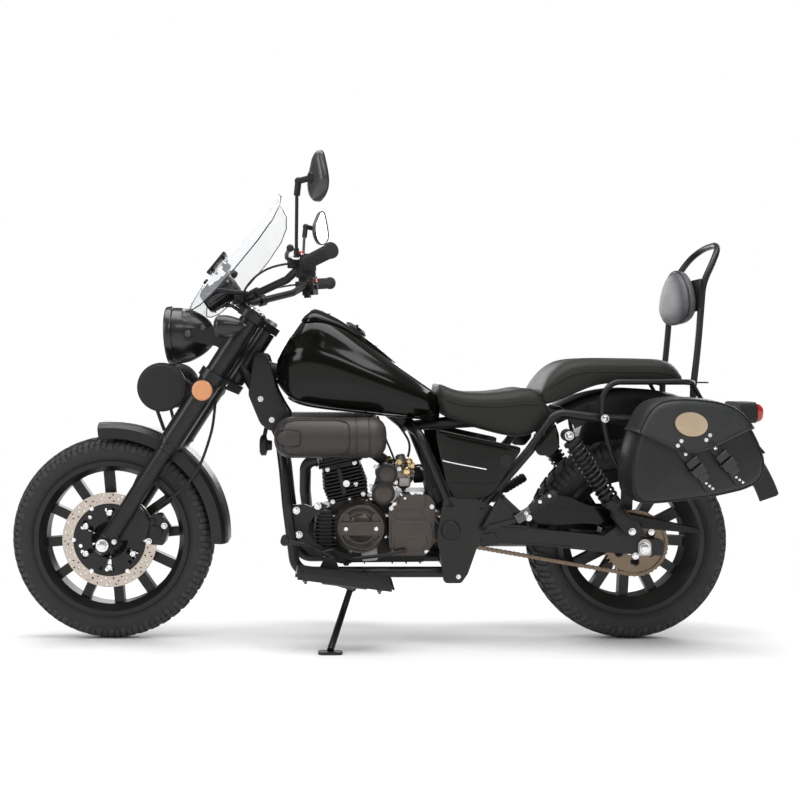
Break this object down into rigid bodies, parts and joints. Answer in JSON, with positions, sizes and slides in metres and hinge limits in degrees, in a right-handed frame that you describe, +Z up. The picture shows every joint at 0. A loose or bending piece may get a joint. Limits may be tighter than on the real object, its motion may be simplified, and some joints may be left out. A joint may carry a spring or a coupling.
{
  "type": "cruiser motorcycle",
  "caption": "Small single-cylinder cruiser with a windshield, two saddlebags, a backrest and side pods, parked leaning on its side stand.",
  "frame": {"origin": "on the floor under the middle of the parked machine", "axes": "+X to the rear, +Y to the right-hand side, +Z up; the machine leans 9 degrees towards -Y onto its stand"},
  "size_m": [2.2108, 0.8612, 1.3684],
  "materials": {
    "tyre": "matt rubber with a block tread",
    "frame_black": "satin black paint",
    "gloss_black": "gloss black paint",
    "matte_black": "matt black plastic",
    "grip_rubber": "matt black rubber",
    "engine_bronze": "dark bronze metallic paint",
    "engine_black": "satin black heat-proof paint",
    "disc_steel": "brushed drilled steel",
    "chain_steel": "oiled bronze-tinted chain steel",
    "axle_steel": "turned steel",
    "pipe_black": "matt black heat-proof paint",
    "leather": "black grained leather",
    "bag_leather": "black grained leather",
    "clear_screen": "clear moulded screen",
    "lens_clear": "clear fluted lamp glass",
    "lens_red": "red lamp lens",
    "reflector_orange": "orange prismatic reflector",
    "dial_black": "gloss black instrument case"
  },
  "bodies": {
    "chassis": {"backrest_pad": "leather", "carburettor_starter": "engine_black", "chain": "chain_steel", "chain_guard": "gloss_black", "crankcase": "engine_black", "cylinder": "engine_black", "engine_covers": "engine_bronze", "exhaust": "pipe_black", "foot_levers": "frame_black", "footrests": "frame_black", "frame": "frame_black", "fuel_tank": "gloss_black", "horn": "matte_black", "neck_covers": "frame_black", "pillion_seat": "leather", "rack_and_sissy_bar": "frame_black", "rear_axle": "axle_steel", "rear_fender": "frame_black", "rider_seat": "leather", "saddlebags": "bag_leather", "shock_absorbers": "matte_black", "side_covers": "gloss_black", "side_pods": "engine_bronze", "swingarm": "frame_black", "tail_lamp": "matte_black", "tail_lens": "lens_red"},
    "front_end": {"fork_sliders": "frame_black", "fork_shrouds": "frame_black", "triple_clamps": "frame_black", "handlebar": "frame_black", "grips": "grip_rubber", "hand_controls": "matte_black", "mirrors": "matte_black", "headlamp": "gloss_black", "headlamp_lens": "lens_clear", "side_lamps": "gloss_black", "fork_reflectors": "reflector_orange", "front_indicators": "gloss_black", "speedometer": "dial_black", "windshield": "clear_screen", "front_fender": "frame_black", "front_caliper": "frame_black", "front_axle": "axle_steel", "brake_hose": "matte_black", "screen_brackets": "frame_black"},
    "front_wheel": {"front_rim": "frame_black", "front_tyre": "tyre", "front_disc": "disc_steel"},
    "rear_wheel": {"rear_rim": "frame_black", "rear_tyre": "tyre", "rear_sprocket": "chain_steel"},
    "side_stand": {"side_stand": "frame_black"},
    "bag_lid_left": {"bag_lid_left": "bag_leather"},
    "bag_lid_right": {"bag_lid_right": "bag_leather"}
  },
  "joints": [
    {"name": "steering", "type": "hinge", "parent": "chassis", "child": "front_end", "pos_m": [-0.42386, 0.05062, 0.80502], "axis": [0.5417, -0.1315, 0.8302], "range_deg": [-35, 35]},
    {"name": "front_wheel_spin", "type": "hinge", "parent": "front_end", "child": "front_wheel", "pos_m": [-0.818, 0.13185, 0.29213], "axis": [0, 0.9877, 0.1564], "continuous": true},
    {"name": "rear_wheel_spin", "type": "hinge", "parent": "chassis", "child": "rear_wheel", "pos_m": [0.682, 0.13263, 0.28719], "axis": [0, 0.9877, 0.1564], "continuous": true},
    {"name": "side_stand_fold", "type": "hinge", "parent": "chassis", "child": "side_stand", "pos_m": [-0.125, 0.05825, 0.15594], "axis": [-0.0294, -0.6805, 0.7322], "range_deg": [0, 90]},
    {"name": "bag_lid_left_hinge", "type": "hinge", "parent": "chassis", "child": "bag_lid_left", "pos_m": [0.772, -0.1096, 0.66596], "axis": [1, 0, 0], "range_deg": [-80, 0]},
    {"name": "bag_lid_right_hinge", "type": "hinge", "parent": "chassis", "child": "bag_lid_right", "pos_m": [0.772, 0.24597, 0.72228], "axis": [1, 0, 0], "range_deg": [0, 80]}
  ]
}
